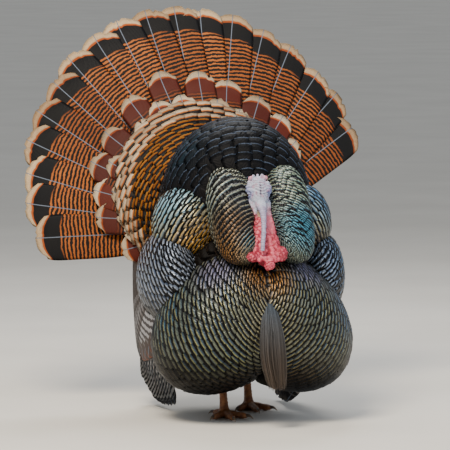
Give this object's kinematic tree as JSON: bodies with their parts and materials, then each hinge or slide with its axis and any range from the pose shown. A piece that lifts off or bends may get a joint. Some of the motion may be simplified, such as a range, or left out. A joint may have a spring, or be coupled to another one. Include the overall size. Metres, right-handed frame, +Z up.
{
  "type": "wild turkey",
  "caption": "Life-size wild turkey tom in full strut, tail fanned, wings drooped, standing, as a still museum model.",
  "frame": {"origin": "on the floor, under the centre of the bird's box", "axes": "+Z up, the bird faces -Y, its right side is towards -X"},
  "size_m": [0.6597, 0.5788, 0.7577],
  "materials": {
    "iridescent_feathers": "bronze, green and blue-grey sheen with black edges",
    "mantle_feathers": "near black with a thin grey-blue edge",
    "body_feathers": "dark brown with black bands",
    "tail_feathers": "rufous with fine black bars, a black band and a buff tip",
    "tail_covert_feathers": "chestnut with buff tips",
    "secondary_feathers": "grey-brown, mottled",
    "primary_feathers": "slate, barred with white",
    "bare_skin": "wrinkled pale blue-white skin",
    "red_skin": "beaded coral-red skin, slightly moist",
    "horn": "satin horn",
    "claw": "dark satin horn",
    "eye": "wet gloss",
    "beard_bristle": "coarse dark bristle",
    "leg_scales": "scaled skin"
  },
  "bodies": {
    "root": {"eye_left": "eye", "eye_right": "eye", "snood": "bare_skin", "head": "bare_skin", "bill_upper": "horn", "bill_lower": "horn", "caruncle_right": "red_skin", "caruncle_left": "red_skin", "caruncle_bottom": "red_skin", "throat": "red_skin", "neck": "bare_skin", "mantle": "mantle_feathers", "trunk": "body_feathers", "breast_left": "iridescent_feathers", "ruff_left": "iridescent_feathers", "shoulder_left": "iridescent_feathers", "wing_coverts_left": "iridescent_feathers", "secondaries_left": "secondary_feathers", "primaries_left": "primary_feathers", "breast_right": "iridescent_feathers", "ruff_right": "iridescent_feathers", "shoulder_right": "iridescent_feathers", "wing_coverts_right": "iridescent_feathers", "secondaries_right": "secondary_feathers", "primaries_right": "primary_feathers", "beard": "beard_bristle", "tail_coverts": "tail_covert_feathers", "tail_fan": "tail_feathers", "undertail_coverts": "body_feathers", "thigh_left": "body_feathers", "foot_left": "leg_scales", "shank_left": "leg_scales", "spur_left": "claw", "claw_middle_left": "claw", "claw_outer_left": "claw", "claw_inner_left": "claw", "claw_hind_left": "claw", "thigh_right": "body_feathers", "foot_right": "leg_scales", "shank_right": "leg_scales", "spur_right": "claw", "claw_middle_right": "claw", "claw_outer_right": "claw", "claw_inner_right": "claw", "claw_hind_right": "claw"}
  },
  "joints": []
}
